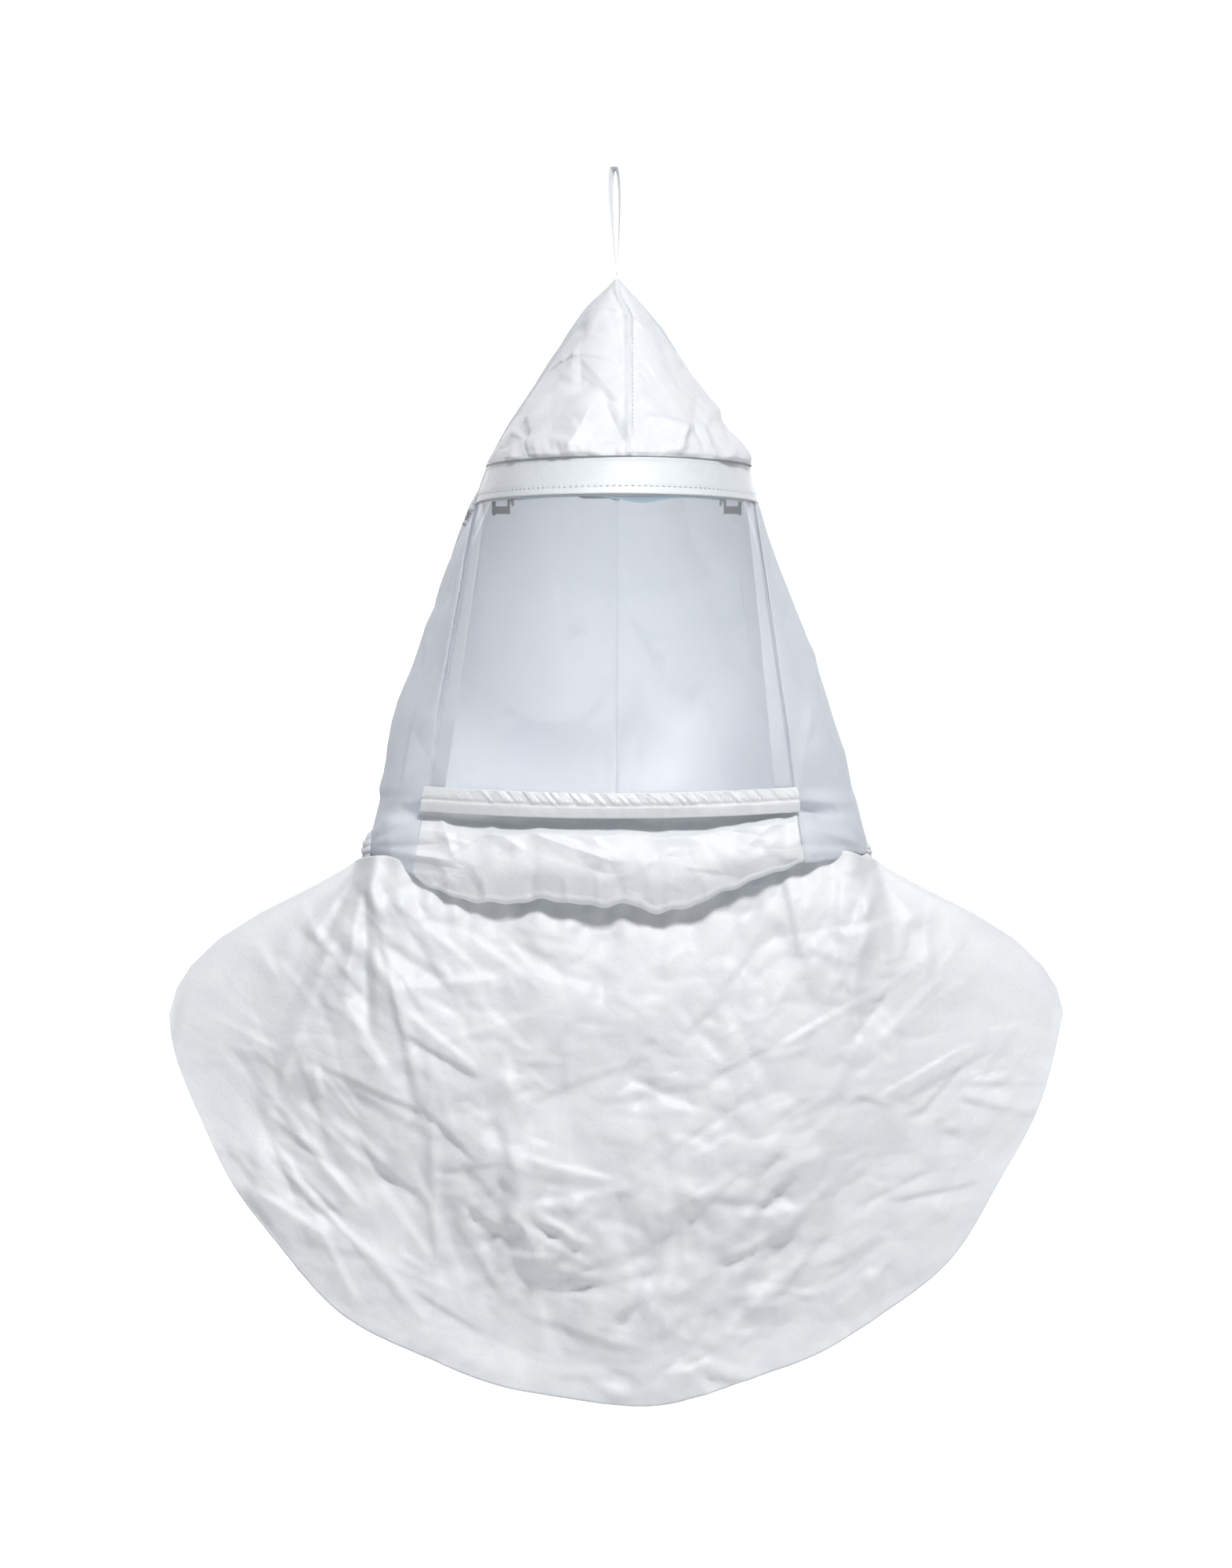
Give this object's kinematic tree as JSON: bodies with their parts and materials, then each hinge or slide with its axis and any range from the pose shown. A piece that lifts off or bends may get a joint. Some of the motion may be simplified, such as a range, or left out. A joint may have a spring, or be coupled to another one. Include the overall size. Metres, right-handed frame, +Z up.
{
  "type": "protective hood",
  "caption": "Loose-fitting fabric hood with a clear wrap-round lens, brow band, hang loop, elastic neck, round shoulder cape, head suspension and rear air inlet.",
  "frame": {"origin": "top inside of the hang loop, where a hook bears", "axes": "+Z up, the lens faces -Y, +X towards the right of a viewer in front"},
  "size_m": [0.6804, 0.2696, 0.9452],
  "materials": {
    "tape": "woven tape",
    "shroud_cloth": "flash-spun nonwoven sheet",
    "band_cloth": "coated nonwoven sheet",
    "lens_sheet": "clear flexible sheet",
    "elastic": "knitted elastic",
    "foam": "pale blue foam",
    "black_plastic": "moulded, fine texture",
    "white_plastic": "moulded",
    "seal_rubber": "soft seal",
    "spring_steel": "leaf spring"
  },
  "bodies": {
    "loop": {"hang_loop": "tape"},
    "hood": {"crown_left": "shroud_cloth", "crown_right": "shroud_cloth", "side_panel_left": "shroud_cloth", "side_panel_right": "shroud_cloth", "back_panel_left": "shroud_cloth", "back_panel_right": "shroud_cloth", "crown_back_left": "shroud_cloth", "crown_back_right": "shroud_cloth", "chin_panel": "shroud_cloth", "brow_band": "band_cloth", "brow_band_facing": "band_cloth", "lens": "lens_sheet", "lens_side_binding_left": "tape", "lens_side_binding_right": "tape", "lens_lower_binding": "tape", "neck_casing": "shroud_cloth", "neck_elastic": "elastic", "headband": "black_plastic", "sweatband": "foam", "crown_strap_left": "black_plastic", "crown_strap_right": "black_plastic", "temple_clips": "black_plastic", "air_inlet_flange": "white_plastic", "air_inlet_gasket": "seal_rubber", "air_inlet_nut": "white_plastic"},
    "cape": {"cape_front": "shroud_cloth", "cape_back": "shroud_cloth"},
    "nape_unit": {"nape_arm_left": "black_plastic", "nape_arm_right": "black_plastic", "nape_pad": "foam", "ratchet_housing": "black_plastic", "ratchet_cover": "black_plastic", "detent_spring": "spring_steel"},
    "knob": {"ratchet_knob": "black_plastic", "ratchet_pinion": "white_plastic"}
  },
  "joints": [
    {"name": "hood_swing", "type": "hinge", "parent": "loop", "child": "hood", "pos_m": [0, 0, -0.083], "axis": [1, 0, 0], "range_deg": [-30, 30]},
    {"name": "cape_fold", "type": "hinge", "parent": "hood", "child": "cape", "pos_m": [0, 0, -0.585], "axis": [1, 0, 0], "range_deg": [-28, 28]},
    {"name": "nape_slide", "type": "slide", "parent": "hood", "child": "nape_unit", "axis": [0, 1, 0], "range_m": [-0.01, 0.01]},
    {"name": "knob_turn", "type": "hinge", "parent": "nape_unit", "child": "knob", "pos_m": [0, 0.1025, -0.236], "axis": [0, 1, 0], "range_deg": [-115, 115]}
  ],
  "couplings": [
    {"joint": "knob_turn", "follows": "nape_slide", "rad_per_m": 200}
  ]
}
